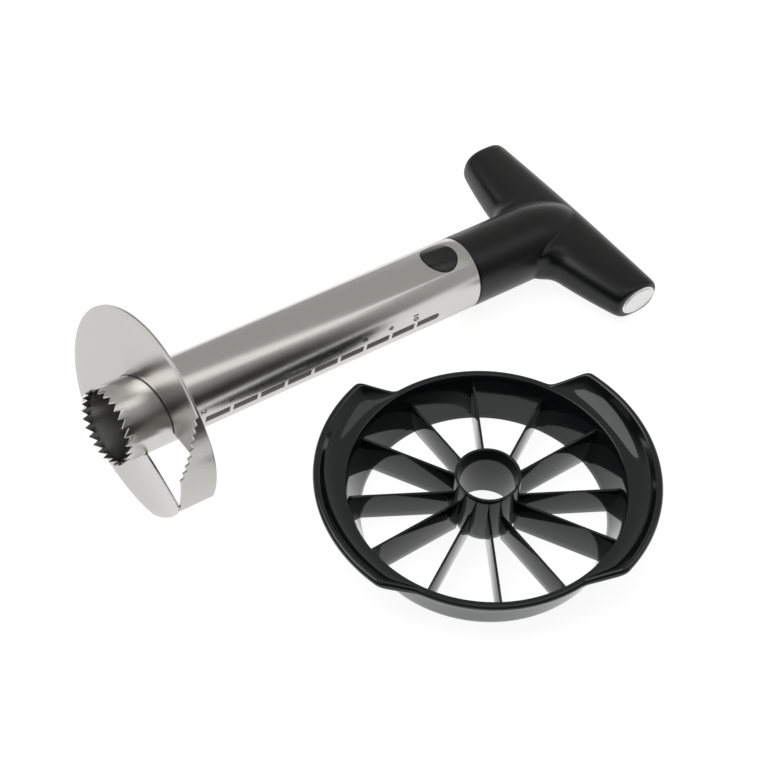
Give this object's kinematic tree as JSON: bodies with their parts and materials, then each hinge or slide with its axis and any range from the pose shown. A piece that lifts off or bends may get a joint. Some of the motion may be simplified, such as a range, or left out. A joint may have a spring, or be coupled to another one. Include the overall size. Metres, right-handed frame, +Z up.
{
  "type": "pineapple cutter",
  "caption": "Stainless coring tube with toothed mouth and bent slicing disc, T handle with release button, beside a wedging ring with radial blades.",
  "frame": {"origin": "axis of the wedging ring's hub bore, at the table that everything lies on", "axes": "+Z up along the hub's axis; +X runs beside the corer from its toothed mouth to its handle; +Y from the ring to the corer"},
  "size_m": [0.2703, 0.2314, 0.095],
  "materials": {
    "tube_steel": "satin, brushed round the tube",
    "disc_steel": "satin",
    "cap_silver": "satin",
    "handle_black": "satin black",
    "button_black": "satin black",
    "plug_black": "moulded",
    "spring_steel": "drawn wire",
    "screw_steel": "zinc plated",
    "ring_black": "glossy black"
  },
  "bodies": {
    "corer": {"core_tube": "tube_steel", "cutting_disc": "disc_steel", "handle_shell": "handle_black", "handle_plug": "plug_black", "button_spring": "spring_steel", "plug_screws": "screw_steel", "end_cap_left": "cap_silver", "end_cap_right": "cap_silver"},
    "button": {"release_button": "button_black"},
    "ring": {"wedger_rim": "ring_black", "wedger_grip_left": "ring_black", "wedger_grip_right": "ring_black", "wedger_hub": "ring_black", "wedger_tall_blades": "ring_black", "wedger_low_blades": "ring_black"}
  },
  "joints": [
    {"name": "button_press", "type": "slide", "parent": "corer", "child": "button", "axis": [-0.1517, 0, -0.9884], "range_m": [0, 0.003], "stiffness_N_per_m": 500, "springref_m": -0.002, "deforming": ["button_spring"]},
    {"name": "wedger_lift", "type": "slide", "parent": "corer", "child": "ring", "axis": [0, 0, 1], "range_m": [0, 0.08]}
  ]
}
